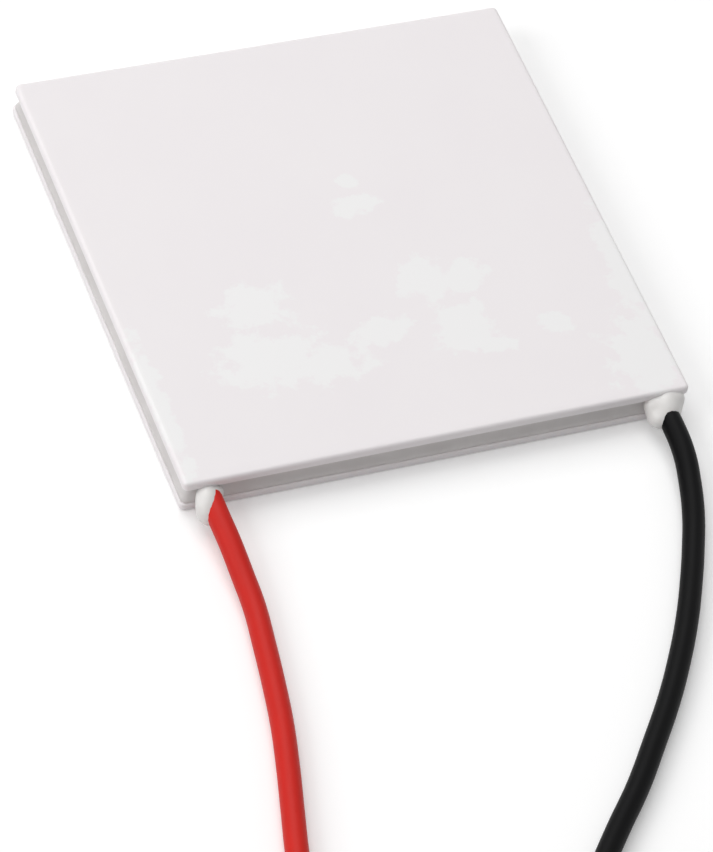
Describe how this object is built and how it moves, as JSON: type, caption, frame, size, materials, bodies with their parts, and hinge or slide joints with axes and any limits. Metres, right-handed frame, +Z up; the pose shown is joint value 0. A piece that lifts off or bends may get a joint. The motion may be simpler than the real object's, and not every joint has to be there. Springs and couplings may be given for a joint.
{
  "type": "thermoelectric cooling module",
  "caption": "Flat square solid-state heat pump: ceramic plates round a series grid of semiconductor pellets, a sealed edge, and insulated leads from its front corners.",
  "frame": {"origin": "centre of the hot plate's underside, on which the module lies", "axes": "+Z up from the hot plate to the cold plate; the leads leave towards -Y, the red one at -X and the black one at +X"},
  "size_m": [0.0667, 0.1049, 0.0032],
  "materials": {
    "alumina": "as-fired alumina, lapped faces, white with a faint pink cast",
    "edge_sealant": "matt cured silicone, pale grey",
    "lead_sealant": "smooth cured silicone, white and slightly translucent",
    "copper": "bare copper, etched to shape",
    "n_telluride": "sawn bismuth telluride, dark grey",
    "p_telluride": "sawn bismuth antimony telluride, grey",
    "solder": "bright solder",
    "tinned_copper": "stranded copper, tinned",
    "red_pvc": "extruded PVC insulation, satin red",
    "black_pvc": "extruded PVC insulation, satin black"
  },
  "bodies": {
    "root": {"hot_plate": "alumina", "cold_plate": "alumina", "edge_seal": "edge_sealant", "red_terminal_tab": "copper", "black_terminal_tab": "copper", "red_conductor": "tinned_copper", "black_conductor": "tinned_copper", "red_solder_joint": "solder", "black_solder_joint": "solder", "red_lead_bead": "lead_sealant", "black_lead_bead": "lead_sealant", "red_lead": "red_pvc", "black_lead": "black_pvc", "red_lead_coil": "red_pvc", "black_lead_coil": "black_pvc", "red_lead_tail": "red_pvc", "black_lead_tail": "black_pvc", "red_tinned_end": "tinned_copper", "black_tinned_end": "tinned_copper", "n_pellets_1": "n_telluride", "n_pellets_2": "n_telluride", "n_pellets_3": "n_telluride", "n_pellets_4": "n_telluride", "n_pellets_5": "n_telluride", "n_pellets_6": "n_telluride", "n_pellets_7": "n_telluride", "n_pellets_8": "n_telluride", "p_pellets_1": "p_telluride", "p_pellets_2": "p_telluride", "p_pellets_3": "p_telluride", "p_pellets_4": "p_telluride", "p_pellets_5": "p_telluride", "p_pellets_6": "p_telluride", "p_pellets_7": "p_telluride", "p_pellets_8": "p_telluride", "hot_tabs_1": "copper", "hot_tabs_2": "copper", "hot_tabs_3": "copper", "hot_tabs_4": "copper", "hot_tabs_5": "copper", "hot_tabs_6": "copper", "hot_tabs_7": "copper", "hot_tabs_8": "copper", "cold_tabs_1": "copper", "cold_tabs_2": "copper", "cold_tabs_3": "copper", "cold_tabs_4": "copper", "cold_tabs_5": "copper", "cold_tabs_6": "copper", "cold_tabs_7": "copper", "cold_tabs_8": "copper"}
  },
  "joints": []
}
